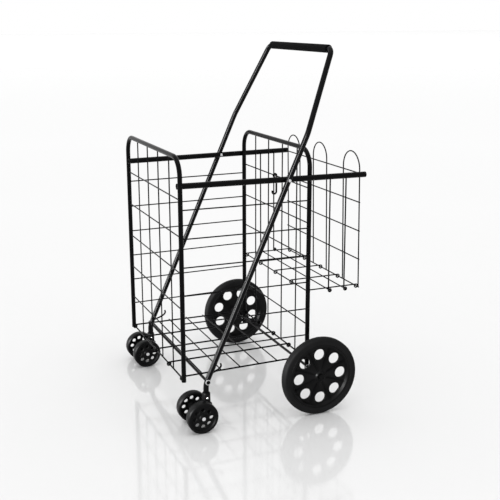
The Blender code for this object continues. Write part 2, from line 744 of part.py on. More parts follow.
def make_caster_socket(name, x, y, materials):
    shelf = SOCKET_BOTTOM_Z + 0.006
    profile = [
        (0.0044, SOCKET_BOTTOM_Z),
        (0.0120, SOCKET_BOTTOM_Z),
        (0.0118, SOCKET_TOP_Z - 0.003),
        (0.0105, SOCKET_TOP_Z),
        (HANDLE_RADIUS + GAP, SOCKET_TOP_Z),
        (HANDLE_RADIUS + GAP, shelf),
        (0.0044, shelf),
    ]
    socket = make_lathe_z(name, profile, (x, y), 16, materials["plastic"])
    place_on_axis(socket, (0, HANDLE_PIVOT_Y, RAIL_Z))


def make_caster_pin(name, swivel, materials):
    """The swivel pin. Its head lies on the socket's floor and its foot is pressed into the fork."""
    head_z = SOCKET_BOTTOM_Z + 0.006 + GAP
    top_z = head_z + 0.0035
    profile = [(0, 0.052), (0.004, 0.052), (0.004, head_z), (0.0058, head_z), (0.0058, top_z), (0, top_z)]
    place_on_axis(make_lathe_z(name, profile, swivel, 10, materials["zinc"]), swivel)


def make_caster_fork(name, swivel, materials):
    """The swivelling body between the two wheels: a neck, a rounded back and a boss for the axle."""
    outline = [(0.0125, SOCKET_BOTTOM_Z - 0.0005)]
    for degrees in (24, 10, -4, -18):
        angle = radians(degrees)
        along = FORK_BACK_RADIUS * cos(angle) - CASTER_TRAIL
        outline.append((along, CASTER_RADIUS + FORK_BACK_RADIUS * sin(angle)))
    for degrees in (-60, -105, -150, 165, 125):
        angle = radians(degrees)
        along = FORK_BOSS_RADIUS * cos(angle) - CASTER_TRAIL
        outline.append((along, CASTER_RADIUS + FORK_BOSS_RADIUS * sin(angle)))
    outline.append((-0.0125, SOCKET_BOTTOM_Z - 0.0005))
    bm = bmesh.new()
    near = [bm.verts.new((swivel[0] - FORK_HALF_WIDTH, swivel[1] + y, z)) for y, z in outline]
    far = [bm.verts.new((swivel[0] + FORK_HALF_WIDTH, swivel[1] + y, z)) for y, z in outline]
    skin(bm, near, far)
    bm.faces.new(near)
    bm.faces.new(far)
    fork = make_object(name, bm, materials["plastic"])
    hole = [(swivel[0], swivel[1], 0.0517), (swivel[0], swivel[1], 0.09)]
    drill = make_rod("pin_hole_" + name, [hole], 0.0044, 10, materials["plastic"], hidden=True)
    combine(fork, drill, "DIFFERENCE")
    radius = CASTER_AXLE_RADIUS + GAP
    reach = (swivel[0] - 0.03, swivel[0] + 0.03)
    cross_bore(fork, swivel[1] - CASTER_TRAIL, CASTER_RADIUS, radius, reach, materials["plastic"], 10)
    place_on_axis(fork, swivel)


def make_caster_axle(name, centre, swivel, materials):
    face = CASTER_WHEEL_X + CASTER_WHEEL_WIDTH / 2 + 0.0005
    radius, head = CASTER_AXLE_RADIUS, 0.0052
    half = [(face, radius), (face, head), (face + 0.0022, 0.0036)]
    other = [(-x, r) for x, r in half[::-1]]
    profile = [(-face - 0.0022, 0), *other, *half, (face + 0.0022, 0)]
    place_on_axis(make_turned(name, profile, centre, 8, materials["zinc"]), swivel)


def make_caster_wheel(name, way, axle, materials):
    half = CASTER_WHEEL_WIDTH / 2
    hole = CASTER_AXLE_RADIUS + GAP
    fork_face = FORK_HALF_WIDTH + 0.0005 - CASTER_WHEEL_X
    profile = [
        (half, hole),
        (half, 0.010),
        (half - 0.005, 0.012),
        (half - 0.005, 0.034),
        (half, 0.036),
        (half, CASTER_RADIUS - 0.003),
        (half - 0.003, CASTER_RADIUS),
        (-half + 0.003, CASTER_RADIUS),
        (-half, CASTER_RADIUS - 0.003),
        (-half, 0.036),
        (half - 0.010, 0.034),
        (half - 0.010, 0.012),
        (fork_face, 0.009),
        (fork_face, hole),
    ]
    profile = [(way * x, radius) for x, radius in profile]
    centre = Vector(axle) + way * CASTER_WHEEL_X * X_AXIS
    wheel = make_turned(name, profile, centre, CASTER_SIDES, materials["plastic"])
    circle, radius = CASTER_HOLE_CIRCLE, CASTER_HOLE_RADIUS
    drill_ring(wheel, centre, CASTER_HOLES, circle, radius, 0, materials["plastic"], 6)
    place_on_axis(wheel, centre)


def main():
    clear_scene()
    materials = {
        "paint": make_material("black_powder_coat", (0.012, 0.012, 0.013), 0.28, 0.2),
        "plastic": make_material("black_plastic", (0.016, 0.016, 0.017), 0.45),
        "tyre": make_material("tyre_rubber", (0.024, 0.024, 0.025), 0.7),
        "foam": make_material("grip_foam", (0.035, 0.035, 0.036), 0.9),
        "zinc": make_material("bright_zinc", (0.72, 0.72, 0.74), 0.25, 1.0),
    }
    make_rear_panel(materials)
    make_front_panel(materials)
    make_rails(materials)
    make_rivets(materials)
    make_side_wires(materials)
    make_main_floor(materials)
    make_rear_basket(materials)
    make_handle(materials)
    make_latch_hook(materials)
    make_rear_wheels(materials)
    make_casters(materials)


main()
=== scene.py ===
"""The looks of the folding shopping trolley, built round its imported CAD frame. Metres, +Z up."""

import json
from math import cos, pi, radians, sin, tan

import bmesh
import bpy
from mathutils import Matrix, Quaternion, Vector

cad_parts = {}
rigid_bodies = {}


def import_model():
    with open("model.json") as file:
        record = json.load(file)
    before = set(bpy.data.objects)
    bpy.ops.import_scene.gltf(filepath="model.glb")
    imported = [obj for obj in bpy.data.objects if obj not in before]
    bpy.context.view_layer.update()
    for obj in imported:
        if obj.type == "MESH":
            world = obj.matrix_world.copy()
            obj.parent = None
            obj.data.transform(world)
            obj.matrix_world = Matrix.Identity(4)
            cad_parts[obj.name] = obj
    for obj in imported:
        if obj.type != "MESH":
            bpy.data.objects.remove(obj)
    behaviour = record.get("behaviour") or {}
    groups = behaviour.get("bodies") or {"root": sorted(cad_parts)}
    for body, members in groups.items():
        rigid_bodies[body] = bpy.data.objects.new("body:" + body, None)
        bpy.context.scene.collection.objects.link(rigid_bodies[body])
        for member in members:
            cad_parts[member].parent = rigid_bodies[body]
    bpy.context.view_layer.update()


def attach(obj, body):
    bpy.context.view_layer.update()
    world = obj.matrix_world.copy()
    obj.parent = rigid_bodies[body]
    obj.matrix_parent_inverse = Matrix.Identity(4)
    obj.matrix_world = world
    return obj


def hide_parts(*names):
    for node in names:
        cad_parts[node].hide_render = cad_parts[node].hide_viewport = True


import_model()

SIDES = {"left": 1, "right": -1}
X_AXIS = Vector((1, 0, 0))

# Dimensions shared with the CAD part
GAP = 0.0003
TUBE_WALL = 0.0012
REAR_Y = 0.11297
BASKET_LENGTH = 0.383
FRONT_Y = REAR_Y - BASKET_LENGTH
FRONT_POST_X = 0.250
FRONT_POST_FOOT_Z = 0.134
REAR_POST_X = 0.238
REAR_POST_FOOT_Z = 0.098
POST_RADIUS = 0.0065
PANEL_TOP_Z = 0.751
PANEL_CORNER_RADIUS = 0.050
PANEL_ROW_TOP_Z = 0.640
PANEL_ROW_PITCH = 0.1006
PANEL_ROWS = 5
PANEL_COLUMNS_X = (-0.150, -0.050, 0.050, 0.150)
REAR_ROW_OFFSET = 0.0059
REAR_COLUMN_OFFSET = 0.0033
FRONT_COLUMN_OFFSET = 0.0028
RAIL_Z = 0.675
RAIL_RADIUS = 0.008
RAIL_X_FRONT = 0.235
RAIL_X_REAR = 0.253
RAIL_FRONT_OVERHANG = 0.0045
RAIL_REAR_END = 0.162
RIVET_SHANK = 0.0022
SIDE_WIRES = 6
SIDE_WIRE_PITCH = 0.079
SIDE_WIRE_X_FRONT = 0.239
SIDE_WIRE_X_REAR = 0.2493
FLOOR_Z = 0.137
FLOOR_HALF_WIDTH_FRONT = 0.237
FLOOR_HALF_WIDTH_REAR = 0.228
FLOOR_CROSS_OFFSETS = (0.037, 0.095, 0.153, 0.211, 0.269, 0.327)
FLOOR_CROSS_OVERHANG = 0.0015
EYELET_RADIUS = 0.0050
REAR_FLOOR_Z = 0.338
REAR_FLOOR_COLUMNS_X = (-0.2285, -0.115, 0.0, 0.115, 0.2285)
REAR_FACE_ROWS_Z = (0.59075, 0.5065, 0.42225, 0.338)
HAIRPINS = ((-0.197, 0.045), (-0.011, 0.045), (0.188, 0.048))
HAIRPIN_TOP_Z = 0.732
LEAN = 0.0059
LINK_FOOT_Z = 0.3402
LINK_TOP_Z = RAIL_Z + LINK_FOOT_Z - REAR_FLOOR_Z
LINK_OFFSETS = (0.061, 0.110)
LINK_RADIUS = 0.0021
FACE_Y = REAR_Y + 0.157
LATCH_X = -0.008
LATCH_LENGTH = 0.057
HANDLE_X = 0.2657
HANDLE_RADIUS = 0.0077
HANDLE_PIVOT_Y = REAR_Y - 0.077
HANDLE_SLOPE = 0.447
HANDLE_FOOT_Z = 0.0825
HANDLE_FOOT_BEND_Z = 0.122
HANDLE_WAIST_Z = 0.800
HANDLE_TOP_X = 0.208
GRIP_Z = 1.020
CROSS_ROD_Z = 0.129
LOCK_HOOK_Z = 0.144
WHEEL_X = 0.316
WHEEL_RADIUS = 0.1145
WHEEL_HALF_WIDTH = 0.0135
WHEEL_HOLES = 8
WHEEL_HOLE_CIRCLE = 0.065
WHEEL_HOLE_RADIUS = 0.0165
AXLE_HALF = WHEEL_X + WHEEL_HALF_WIDTH + 0.0065
CASTER_RADIUS = 0.044
CASTER_TRAIL = 0.027
CASTER_WHEEL_X = 0.042
CASTER_HOLES = 8
CASTER_HOLE_CIRCLE = 0.024

# Radii as drawn here, 0.1 to 0.3 mm off the CAD ones
CASTER_HOLE_RADIUS = 0.0059
WIRE = 0.0019
FLOOR_WIRE = 0.0024
REAR_FLOOR_BAR = 0.0018


# Materials -----------------------------------------------------------------------------------


def new_material(name, colour, roughness, metallic=0.0, specular=0.5):
    material = bpy.data.materials.new(name)
    material.use_nodes = True
    shader = material.node_tree.nodes["Principled BSDF"]
    shader.inputs["Base Color"].default_value = (*colour, 1)
    shader.inputs["Roughness"].default_value = roughness
    shader.inputs["Metallic"].default_value = metallic
    shader.inputs["Specular IOR Level"].default_value = specular
    return material, material.node_tree, shader


def noise(tree, scale, detail=3.0):
    """A noise texture fixed to the object, in its own coordinates."""
    where = tree.nodes.new("ShaderNodeTexCoord")
    texture = tree.nodes.new("ShaderNodeTexNoise")
    texture.inputs["Scale"].default_value = scale
    texture.inputs["Detail"].default_value = detail
    tree.links.new(where.outputs["Object"], texture.inputs["Vector"])
    return texture.outputs["Fac"]


def remap(tree, value, low, high):
    ramp = tree.nodes.new("ShaderNodeMapRange")
    ramp.inputs["From Min"].default_value = 0.3
    ramp.inputs["From Max"].default_value = 0.7
    ramp.inputs["To Min"].default_value = low
    ramp.inputs["To Max"].default_value = high
    tree.links.new(value, ramp.inputs["Value"])
    return ramp.outputs["Result"]


def tint(tree, shader, value, dark, light):
    ramp = tree.nodes.new("ShaderNodeValToRGB")
    ramp.color_ramp.elements[0].position = 0.35
    ramp.color_ramp.elements[0].color = (*dark, 1)
    ramp.color_ramp.elements[1].position = 0.65
    ramp.color_ramp.elements[1].color = (*light, 1)
    tree.links.new(value, ramp.inputs["Fac"])
    tree.links.new(ramp.outputs["Color"], shader.inputs["Base Color"])


def bump(tree, shader, height, strength, distance):
    node = tree.nodes.new("ShaderNodeBump")
    node.inputs["Strength"].default_value = strength
    node.inputs["Distance"].default_value = distance
    tree.links.new(height, node.inputs["Height"])
    tree.links.new(node.outputs["Normal"], shader.inputs["Normal"])


def make_powder_coat():
    material, tree, shader = new_material("powder_coat", (0.0014, 0.0014, 0.0016), 0.2, specular=0.07)
    tree.links.new(remap(tree, noise(tree, 60.0), 0.15, 0.25), shader.inputs["Roughness"])
    bump(tree, shader, noise(tree, 900.0, 1.0), 0.10, 0.0002)
    return material


def make_plastic():
    base = (0.0013, 0.0013, 0.0014)
    material, tree, shader = new_material("moulded_plastic", base, 0.38, specular=0.09)
    tint(tree, shader, noise(tree, 30.0), (0.0009, 0.0009, 0.0010), (0.0018, 0.0018, 0.0019))
    tree.links.new(remap(tree, noise(tree, 45.0), 0.33, 0.46), shader.inputs["Roughness"])
    bump(tree, shader, noise(tree, 2200.0, 2.0), 0.08, 0.0002)
    return material


def make_rubber():
    material, tree, shader = new_material("tyre_rubber", (0.0022, 0.0022, 0.0023), 0.6, specular=0.10)
    tint(tree, shader, noise(tree, 25.0), (0.0016, 0.0016, 0.0017), (0.0030, 0.0030, 0.0032))
    tree.links.new(remap(tree, noise(tree, 40.0), 0.50, 0.66), shader.inputs["Roughness"])
    bump(tree, shader, noise(tree, 1600.0, 3.0), 0.15, 0.0003)
    return material


def make_foam():
    material, tree, shader = new_material("grip_foam", (0.005, 0.005, 0.0053), 0.88, specular=0.06)
    tint(tree, shader, noise(tree, 700.0), (0.0030, 0.0030, 0.0033), (0.0068, 0.0068, 0.0072))
    bump(tree, shader, noise(tree, 1300.0, 4.0), 0.55, 0.0006)
    return material


def make_zinc():
    material, tree, shader = new_material("bright_zinc", (0.72, 0.72, 0.73), 0.28, 1.0)
    tree.links.new(remap(tree, noise(tree, 400.0), 0.20, 0.36), shader.inputs["Roughness"])
    return material


PAINT = make_powder_coat()
PLASTIC = make_plastic()
RUBBER = make_rubber()
FOAM = make_foam()
ZINC = make_zinc()


# Shapes --------------------------------------------------------------------------------------


def rounded(corners, radii, steps):
    """A polyline whose inner corners are arcs, each of its own radius."""
    corners = [Vector(corner) for corner in corners]
    path = [corners[0]]
    for before, corner, after, radius in zip(corners, corners[1:], corners[2:], radii):
        arriving = (corner - before).normalized()
        leaving = (after - corner).normalized()
        turn = arriving.angle(leaving)
        start = corner - arriving * radius * tan(turn / 2)
        axis = arriving.cross(leaving).normalized()
        centre = start + axis.cross(arriving) * radius
        spoke = start - centre
        path += [centre + Quaternion(axis, turn * i / steps) @ spoke for i in range(steps + 1)]
    path.append(corners[-1])
    return path


def frames_along(path):
    """At each point, the tangent and two directions square to it, carried along without twist."""
    tangents = []
    for i in range(len(path)):
        tangents.append((path[min(i + 1, len(path) - 1)] - path[max(i - 1, 0)]).normalized())
    guide = X_AXIS if abs(tangents[0].x) < 0.9 else Vector((0, 1, 0))
    across = (guide - tangents[0] * guide.dot(tangents[0])).normalized()
    frames = []
    for before, tangent in zip([tangents[0]] + tangents, tangents):
        across = before.rotation_difference(tangent) @ across
        frames.append((across, tangent.cross(across), tangent))
    return frames


def ring(bm, centre, across, along, radius, sides):
    points = []
    for i in range(sides):
        angle = 2 * pi * i / sides
        points.append(bm.verts.new(centre + radius * (cos(angle) * across + sin(angle) * along)))
    return points


def skin(bm, first, second):
    for i in range(len(first)):
        after = (i + 1) % len(first)
        bm.faces.new((first[i], first[after], second[after], second[i]))


def add_rod(bm, path, radius, sides=12, tip=0.35):
    """A round wire or bar along a path, with softened ends. tip is the ends' rounding, in radii."""
    path = [Vector(point) for point in path]
    frames = frames_along(path)
    soft = radius * tip
    rows = []
    across, along, tangent = frames[0]
    rows.append(ring(bm, path[0], across, along, radius - soft, sides))
    rows.append(ring(bm, path[0] + tangent * soft, across, along, radius, sides))
    for point, (across, along, _) in zip(path[1:-1], frames[1:-1]):
        rows.append(ring(bm, point, across, along, radius, sides))
    across, along, tangent = frames[-1]
    rows.append(ring(bm, path[-1] - tangent * soft, across, along, radius, sides))
    rows.append(ring(bm, path[-1], across, along, radius - soft, sides))
    for first, second in zip(rows, rows[1:]):
        skin(bm, first, second)
    bm.faces.new(rows[0])
    bm.faces.new(rows[-1])


def add_tube(bm, path, radius, wall, sides=28):
    """An open-ended tube, its cut edges slightly rounded."""
    path = [Vector(point) for point in path]
    frames = frames_along(path)
    edge = wall * 0.3
    outside = []
    for i, (point, (across, along, tangent)) in enumerate(zip(path, frames)):
        if i == 0:
            outside.append(ring(bm, point, across, along, radius - edge, sides))
            outside.append(ring(bm, point + tangent * edge, across, along, radius, sides))
        elif i == len(path) - 1:
            outside.append(ring(bm, point - tangent * edge, across, along, radius, sides))
            outside.append(ring(bm, point, across, along, radius - edge, sides))
        else:
            outside.append(ring(bm, point, across, along, radius, sides))
    inside = [ring(bm, point, f[0], f[1], radius - wall, sides) for point, f in zip(path, frames)]
    for first, second in zip(outside, outside[1:]):
        skin(bm, first, second)
    for first, second in zip(inside, inside[1:]):
        skin(bm, first, second)
    skin(bm, outside[0], inside[0])
    skin(bm, outside[-1], inside[-1])


def add_turned(bm, profile, centre, axis, segments):
    """Turns a closed (distance along axis, radius) profile. It may start and end on the axis."""
    axis = Vector(axis).normalized()
    across = Vector((0, 0, 1)) if abs(axis.z) < 0.9 else X_AXIS
    across = (across - axis * across.dot(axis)).normalized()
    along = axis.cross(across)
    rows = []
    for distance, radius in profile:
        middle = Vector(centre) + distance * axis
        if radius == 0:
            rows.append([bm.verts.new(middle)])
        else:
            rows.append(ring(bm, middle, across, along, radius, segments))
    pairs = list(zip(rows, rows[1:]))
    if len(rows[0]) > 1 and len(rows[-1]) > 1:
        pairs.append((rows[-1], rows[0]))
    for first, second in pairs:
        if len(first) == 1 or len(second) == 1:
            tip, rim = (first[0], second) if len(first) == 1 else (second[0], first)
            for i in range(segments):
                bm.faces.new((tip, rim[i], rim[(i + 1) % segments]))
        else:
            skin(bm, first, second)


def quarter_round(start, radius, height, steps=8):
    """A domed end's profile, from just past its rim to the axis."""
    points = []
    for i in range(1, steps + 1):
        angle = radians(90) * i / steps
        points.append((start + height * sin(angle), radius * cos(angle) if i < steps else 0))
    return points


def add_cutter(bm, centre, radius, sides):
    """A round bar along X, long enough to cut right through a wheel."""
    reach = 0.03
    profile = [(-reach, 0), (-reach, radius), (reach, radius), (reach, 0)]
    add_turned(bm, profile, centre, X_AXIS, sides)


def spoke(angle):
    """The direction at this angle round a wheel."""
    return Vector((0, cos(angle), sin(angle)))


def add_weld(bm, centre, size):
    """The small flattened bead where two wires are welded."""
    made = bmesh.ops.create_icosphere(bm, subdivisions=1, radius=1.0)
    place = Matrix.Translation(Vector(centre)) @ Matrix.Diagonal((*size, 1))
    bmesh.ops.transform(bm, matrix=place, verts=made["verts"])


def add_block(bm, outline, centre, half_width):
    """A slab across X whose side view is outline, a list of (y, z) offsets from centre."""
    centre = Vector(centre)
    near = [bm.verts.new(centre + Vector((-half_width, y, z))) for y, z in outline]
    far = [bm.verts.new(centre + Vector((half_width, y, z))) for y, z in outline]
    skin(bm, near, far)
    bm.faces.new(near)
    bm.faces.new(far)


def soften(profile, radius, steps=3):
    """Rounds every corner of a profile that is sharp enough to catch light."""
    points = [Vector((*point, 0)) for point in profile]
    out = []
    count = len(points)
    for i, point in enumerate(points):
        on_axis_end = point.y == 0 and i in (0, count - 1)
        before = points[i - 1]
        after = points[(i + 1) % count]
        if on_axis_end:
            out.append((point.x, point.y))
            continue
        arriving, leaving = point - before, after - point
        turn = arriving.angle(leaving)
        if turn < radians(20):
            out.append((point.x, point.y))
            continue
        reach = min(radius * tan(turn / 2), 0.4 * arriving.length, 0.4 * leaving.length)
        start = point - arriving.normalized() * reach
        end = point + leaving.normalized() * reach
        for k in range(steps + 1):
            t = k / steps
            bend = (1 - t) ** 2 * start + 2 * t * (1 - t) * point + t * t * end
            out.append((bend.x, bend.y))
    return out


def piece(name, body, material, bm, replaces=(), bevel=0.0, sharp=35):
    """Makes the object, rides it on its body and hides the CAD nodes that it stands for."""
    bmesh.ops.recalc_face_normals(bm, faces=bm.faces)
    mesh = bpy.data.meshes.new(name)
    bm.to_mesh(mesh)
    bm.free()
    mesh.shade_smooth()
    mesh.set_sharp_from_angle(angle=radians(sharp))
    mesh.materials.append(material)
    thing = bpy.data.objects.new(name, mesh)
    bpy.context.scene.collection.objects.link(thing)
    if bevel:
        modifier = thing.modifiers.new("soft_edges", "BEVEL")
        modifier.width = bevel
        modifier.segments = 3
        modifier.limit_method = "ANGLE"
        modifier.angle_limit = radians(30)
    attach(thing, body)
    if replaces:
        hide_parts(*replaces)
    return thing


def drill(thing, cutter_bm):
    """Cuts holes through a finished piece, and keeps the result in its mesh."""
    bmesh.ops.recalc_face_normals(cutter_bm, faces=cutter_bm.faces)
    mesh = bpy.data.meshes.new("cutter")
    cutter_bm.to_mesh(mesh)
    cutter_bm.free()
    cutter = bpy.data.objects.new("cutter", mesh)
    bpy.context.scene.collection.objects.link(cutter)
    modifier = thing.modifiers.new("holes", "BOOLEAN")
    modifier.operation = "DIFFERENCE"
    modifier.object = cutter
    modifier.solver = "EXACT"
    bpy.context.view_layer.update()
    graph = bpy.context.evaluated_depsgraph_get()
    cut = bpy.data.meshes.new_from_object(thing.evaluated_get(graph))
    thing.modifiers.clear()
    thing.data = cut
    cut.shade_smooth()
    cut.set_sharp_from_angle(angle=radians(35))
    bpy.data.objects.remove(cutter)


# Panels, rails and side wires ----------------------------------------------------------------


def rail_x(y):
    return RAIL_X_REAR + (RAIL_X_REAR - RAIL_X_FRONT) * (y - REAR_Y) / BASKET_LENGTH


def lean(z):
    return LEAN * (RAIL_Z - z) / (RAIL_Z - REAR_FLOOR_Z)


def handle_y(z):
    return HANDLE_PIVOT_Y + HANDLE_SLOPE * (z - RAIL_Z)


def curl(x, y, z, towards, shift=0.0014, sweep=320):
    """A wire's end rolled round the rod at y, z. The roll steps sideways as it closes on itself."""
    points = []
    steps = 16
    for i in range(steps + 1):
        angle = i * radians(sweep) / steps
        sideways = shift * i / steps
        points.append(Vector((
            x + sideways,
            y + towards * EYELET_RADIUS * sin(angle),
            z + EYELET_RADIUS * cos(angle),
        )))
    return points


def rolled_wire(front, rear, **shape):
    return curl(*front, -1, **shape)[::-1] + curl(*rear, 1, **shape)


def build_panel(name, body, post_x, y, foot_z):
    """A bent tube and its mesh. The rear rows lie behind the posts, the front ones between them."""
    corners = [
        (post_x, y, foot_z),
        (post_x, y, PANEL_TOP_Z),
        (-post_x, y, PANEL_TOP_Z),
        (-post_x, y, foot_z),
    ]
    bm = bmesh.new()
    add_tube(bm, rounded(corners, [PANEL_CORNER_RADIUS] * 2, 14), POST_RADIUS, TUBE_WALL)
    piece(name + "_frame", body, PAINT, bm, [name + "_frame_tube"])

    if name == "rear":
        rows_y, columns_y = y + REAR_ROW_OFFSET, y + REAR_COLUMN_OFFSET
        reach = post_x - 0.0030
    else:
        rows_y, columns_y = y, y + FRONT_COLUMN_OFFSET
        reach = post_x - POST_RADIUS + 0.0008
    between_y = (rows_y + columns_y) / 2
    bm = bmesh.new()
    add_rod(bm, [(-post_x + 0.004, y, FLOOR_Z), (post_x - 0.004, y, FLOOR_Z)], FLOOR_WIRE)
    for row in range(PANEL_ROWS):
        z = PANEL_ROW_TOP_Z - row * PANEL_ROW_PITCH
        add_rod(bm, [(-reach, rows_y, z), (reach, rows_y, z)], WIRE)
        for side in (-1, 1):
            add_weld(bm, (side * (reach - 0.0010), rows_y, z), (0.0026, 0.0022, 0.0024))
        for x in PANEL_COLUMNS_X:
            add_weld(bm, (x, between_y, z), (0.0021, 0.0022, 0.0021))
    for x in PANEL_COLUMNS_X:
        add_rod(bm, [(x, columns_y, FLOOR_Z - 0.0022), (x, columns_y, PANEL_TOP_Z - 0.005)], WIRE)
        add_weld(bm, (x, columns_y, PANEL_TOP_Z - POST_RADIUS + 0.0004), (0.0026, 0.0024, 0.0018))
        add_weld(bm, (x, y + 0.0018, FLOOR_Z), (0.0023, 0.0024, 0.0026))
    piece(name + "_mesh", body, PAINT, bm, [name + "_panel_mesh"])


def build_plugs():
    for name, side in SIDES.items():
        foot = FRONT_POST_FOOT_Z
        profile = [
            (foot + 0.010, 0),
            (foot + 0.010, 0.0049),
            (foot - GAP, 0.0049),
            (foot - GAP, 0.0069),
            (foot - 0.0032, 0.0064),
            (foot - 0.0032, 0),
        ]
        bm = bmesh.new()
        add_turned(bm, soften(profile, 0.0009), (side * FRONT_POST_X, FRONT_Y, 0), (0, 0, 1), 32)
        piece("post_foot_" + name, "front_panel", PLASTIC, bm, ["post_plug_" + name])


def build_rails():
    front, rear = FRONT_Y - RAIL_FRONT_OVERHANG, REAR_Y + RAIL_REAR_END
    for name, side in SIDES.items():
        start = Vector((side * rail_x(front), front, RAIL_Z))
        end = Vector((side * rail_x(rear), rear, RAIL_Z))
        bm = bmesh.new()
        add_tube(bm, [start, end], RAIL_RADIUS, TUBE_WALL, 32)
        piece("top_rail_" + name, "rails", PAINT, bm, ["rail_" + name])
        rim = 0.0014
        profile = [(-0.003, 0), (-0.003, 0.0065), (GAP, 0.0065), (GAP, RAIL_RADIUS), (rim, RAIL_RADIUS)]
        profile += quarter_round(rim, RAIL_RADIUS, 0.0026)
        bm = bmesh.new()
        add_turned(bm, profile, end, end - start, 32)
        piece("rail_plug_" + name, "rails", PLASTIC, bm, ["rail_cap_" + name])


def rivet_profile(inner, outer, head):
    """A rivet through everything between inner and outer, flat inside and domed outside."""
    inner -= GAP
    outer += GAP
    profile = [(inner - 0.0016, 0), (inner - 0.0016, 0.0030), (inner, head), (inner, RIVET_SHANK)]
    profile += [(outer, RIVET_SHANK), (outer, head)]
    return profile + quarter_round(outer, head, 0.0020)


def build_rivets():
    places = {
        "front": (FRONT_Y, rail_x(FRONT_Y) - RAIL_RADIUS, FRONT_POST_X + POST_RADIUS),
        "rear": (REAR_Y, REAR_POST_X - POST_RADIUS, rail_x(REAR_Y) + RAIL_RADIUS),
        "handle": (HANDLE_PIVOT_Y, rail_x(HANDLE_PIVOT_Y) - RAIL_RADIUS, HANDLE_X + HANDLE_RADIUS),
    }
    for place, (y, inner, outer) in places.items():
        material = ZINC if place == "handle" else PAINT
        for name, side in SIDES.items():
            bm = bmesh.new()
            add_turned(bm, rivet_profile(inner, outer, 0.0043), (0, y, RAIL_Z), (side, 0, 0), 32)
            piece(f"{place}_rivet_head_{name}", "rails", material, bm, [f"{place}_rivet_{name}"])


def build_side_wires():
    for level in range(1, SIDE_WIRES + 1):
        z = FLOOR_Z + level * SIDE_WIRE_PITCH
        for name, side in SIDES.items():
            corners = [
                (side * (FRONT_POST_X + POST_RADIUS + 0.0006), FRONT_Y, z),
                (side * SIDE_WIRE_X_FRONT, FRONT_Y, z),
                (side * SIDE_WIRE_X_REAR, REAR_Y, z),
                (side * (REAR_POST_X - POST_RADIUS - 0.0006), REAR_Y, z),
            ]
            bm = bmesh.new()
            add_rod(bm, rounded(corners, [0.0028] * 2, 6), WIRE, tip=0.6)
            wire = f"side_wire_{level}_{name}"
            piece("loose_" + wire, f"side_wires_{level}", PAINT, bm, [wire])


# Floors and rear basket ----------------------------------------------------------------------


def floor_half_width(offset):
    """Half the main floor's width, at this distance in front of the rear panel."""
    spread = FLOOR_HALF_WIDTH_FRONT - FLOOR_HALF_WIDTH_REAR
    return FLOOR_HALF_WIDTH_REAR + spread * offset / BASKET_LENGTH


def build_main_floor():
    bm = bmesh.new()
    bar_z = FLOOR_Z + EYELET_RADIUS + FLOOR_WIRE + 0.0010
    for share in (-1, -0.5, 0, 0.5, 1):
        shift = -0.0014 if share > 0 else 0.0014
        front = (share * FLOOR_HALF_WIDTH_FRONT, FRONT_Y, FLOOR_Z)
        rear = (share * FLOOR_HALF_WIDTH_REAR, REAR_Y, FLOOR_Z)
        add_rod(bm, rolled_wire(front, rear, shift=shift, sweep=335), FLOOR_WIRE)
        for offset in FLOOR_CROSS_OFFSETS:
            x = share * floor_half_width(offset)
            add_weld(bm, (x, REAR_Y - offset, bar_z - 0.0012), (0.0027, 0.0022, 0.0018))
    for offset in FLOOR_CROSS_OFFSETS:
        half = floor_half_width(offset) + FLOOR_CROSS_OVERHANG
        add_rod(bm, [(-half, REAR_Y - offset, bar_z), (half, REAR_Y - offset, bar_z)], WIRE)
    piece("main_floor", "main_floor", PAINT, bm, ["main_floor_grid"])


def rear_link_x(offset):
    return rail_x(REAR_Y + offset) - RAIL_RADIUS - 0.0027


def build_rear_floor():
    bm = bmesh.new()
    near_y = REAR_Y + REAR_ROW_OFFSET
    far_y = FACE_Y + LEAN
    for x in REAR_FLOOR_COLUMNS_X:
        shift = -0.0012 if x > 0 else 0.0012
        ends = (x, near_y, REAR_FLOOR_Z), (x, far_y, REAR_FLOOR_Z)
        add_rod(bm, rolled_wire(*ends, shift=shift), WIRE)
        for offset in LINK_OFFSETS:
            add_weld(bm, (x, near_y + offset, LINK_FOOT_Z + 0.0016), (0.0022, 0.0021, 0.0018))
    for offset in LINK_OFFSETS:
        half = rear_link_x(offset) + 0.008
        ends = [(-half, near_y + offset, LINK_FOOT_Z), (half, near_y + offset, LINK_FOOT_Z)]
        add_rod(bm, ends, REAR_FLOOR_BAR)
    piece("rear_basket_base", "basket_floor", PAINT, bm, ["rear_basket_floor"])


def build_rear_links():
    loop = 0.0043
    for number, offset in enumerate(LINK_OFFSETS, 1):
        for name, side in SIDES.items():
            x = side * rear_link_x(offset)
            y = REAR_Y + offset
            foot_y = y + LEAN
            corners = [
                (x + side * 0.0066, y, LINK_TOP_Z),
                (x, y, LINK_TOP_Z),
                (x, foot_y - loop, LINK_FOOT_Z + 0.006),
            ]
            points = rounded(corners, [0.0035], 6)
            for i in range(17):
                angle = radians(180 + 20 * i)
                roll = Vector((side * 0.0012 * i / 16, loop * cos(angle), loop * sin(angle)))
                points.append(Vector((x, foot_y, LINK_FOOT_Z)) + roll)
            bm = bmesh.new()
            add_rod(bm, points, LINK_RADIUS)
            link = f"rear_link_{number}_{name}"
            piece("hanging_" + link, f"basket_links_{number}", PAINT, bm, [link])


